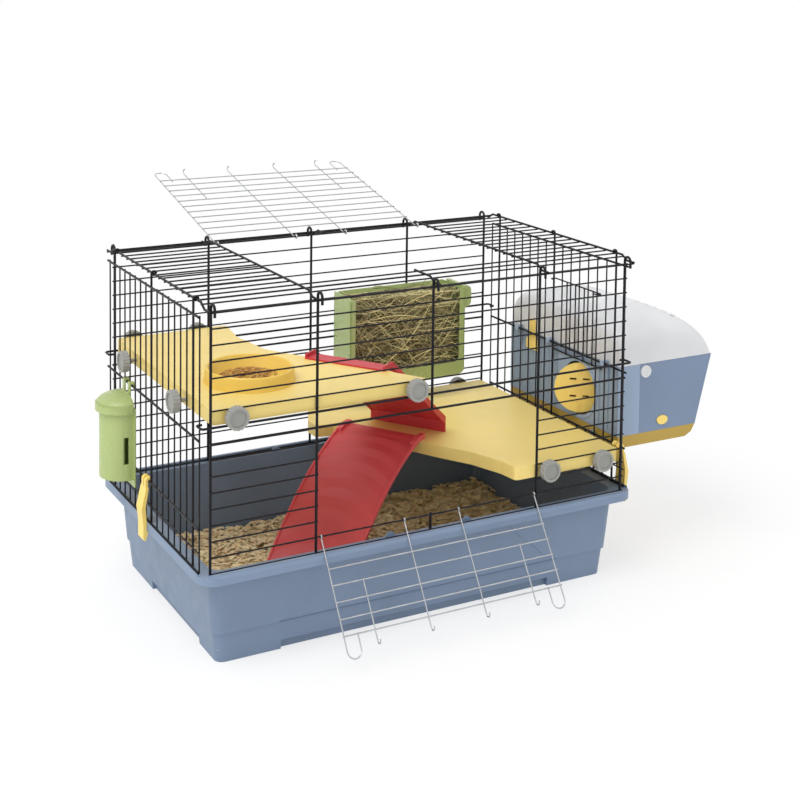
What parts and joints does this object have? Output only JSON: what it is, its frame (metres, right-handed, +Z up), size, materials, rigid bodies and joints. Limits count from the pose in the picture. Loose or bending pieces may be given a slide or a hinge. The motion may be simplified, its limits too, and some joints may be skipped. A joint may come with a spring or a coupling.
{
  "type": "small animal cage",
  "caption": "Wire cage on a deep plastic tray, with two platforms, ramps, hay rack, feeder, wire doors and a carrier hung on its side.",
  "frame": {"origin": "centre of the tray's underside, on the floor", "axes": "+X towards the carrier, along the cage's length; +Y to the back; +Z up"},
  "size_m": [1.0827, 0.852, 0.6486],
  "materials": {
    "tray_plastic": "smooth moulded, satin",
    "black_wire": "powder coated wire",
    "bright_wire": "bright zinc plated wire",
    "deck_yellow": "satin moulded",
    "bowl_yellow": "satin moulded",
    "knob_grey": "satin moulded",
    "ramp_red": "satin moulded",
    "ramp_dark": "satin moulded",
    "rack_green": "translucent moulded",
    "feeder_green": "translucent moulded",
    "latch_yellow": "satin moulded",
    "base_ochre": "satin moulded",
    "carrier_blue": "satin moulded",
    "collar_blue": "satin moulded",
    "frosted": "frosted translucent"
  },
  "bodies": {
    "cage": {"tray": "tray_plastic", "front_panel": "black_wire", "back_panel": "black_wire", "left_panel": "black_wire", "right_panel": "black_wire", "roof_panel": "black_wire", "upper_platform": "deck_yellow", "upper_knobs": "knob_grey", "upper_nuts": "knob_grey", "food_bowl": "bowl_yellow", "lower_platform": "deck_yellow", "lower_knobs": "knob_grey", "lower_nuts": "knob_grey", "long_ramp": "ramp_red", "short_ramp": "ramp_dark", "hay_rack": "rack_green", "feeder_body": "feeder_green", "carrier_base": "base_ochre", "carrier_body": "carrier_blue", "carrier_collar": "collar_blue", "doorway_ring": "collar_blue", "hinge_pins": "bright_wire", "lid_buttons": "frosted", "carrier_vents": "latch_yellow"},
    "front_door": {"front_door": "bright_wire"},
    "roof_door": {"roof_door": "bright_wire"},
    "side_door": {"side_door": "black_wire"},
    "left_latch": {"left_latch": "latch_yellow"},
    "right_latch": {"right_latch": "latch_yellow"},
    "feeder_lid": {"feeder_lid": "feeder_green"},
    "round_door": {"disc_door": "latch_yellow"},
    "carrier_lid": {"carrier_lid": "frosted"},
    "lid_latch": {"lid_latch": "latch_yellow"}
  },
  "joints": [
    {"name": "front_door_hinge", "type": "hinge", "parent": "cage", "child": "front_door", "pos_m": [0, -0.2279, 0.1792], "axis": [1, 0, 0], "range_deg": [-145.7, 0]},
    {"name": "roof_door_hinge", "type": "hinge", "parent": "cage", "child": "roof_door", "pos_m": [0, 0.18394, 0.5636], "axis": [1, 0, 0], "range_deg": [0, 166.6]},
    {"name": "side_door_slide", "type": "slide", "parent": "cage", "child": "side_door", "axis": [0, 0, 1], "range_m": [-0.005, 0.062]},
    {"name": "left_latch_swing", "type": "hinge", "parent": "cage", "child": "left_latch", "pos_m": [-0.399, 0, 0.2223], "axis": [0, 1, 0], "range_deg": [0, 60]},
    {"name": "right_latch_swing", "type": "hinge", "parent": "cage", "child": "right_latch", "pos_m": [0.399, -0.2, 0.2223], "axis": [0, -1, 0], "range_deg": [0, 60]},
    {"name": "feeder_lid_lift", "type": "slide", "parent": "cage", "child": "feeder_lid", "axis": [0, 0, 1], "range_m": [0, 0.025]},
    {"name": "round_door_swivel", "type": "hinge", "parent": "cage", "child": "round_door", "pos_m": [0.4087, -0.07, 0.2895], "axis": [0, 0, 1], "range_deg": [-55, 35]},
    {"name": "carrier_lid_hinge", "type": "hinge", "parent": "cage", "child": "carrier_lid", "pos_m": [0.62306, -0.015, 0.3585], "axis": [0, 1, 0], "range_deg": [0, 95]},
    {"name": "lid_latch_slide", "type": "slide", "parent": "cage", "child": "lid_latch", "axis": [0, 0, 1], "range_m": [-0.01, 0]}
  ]
}
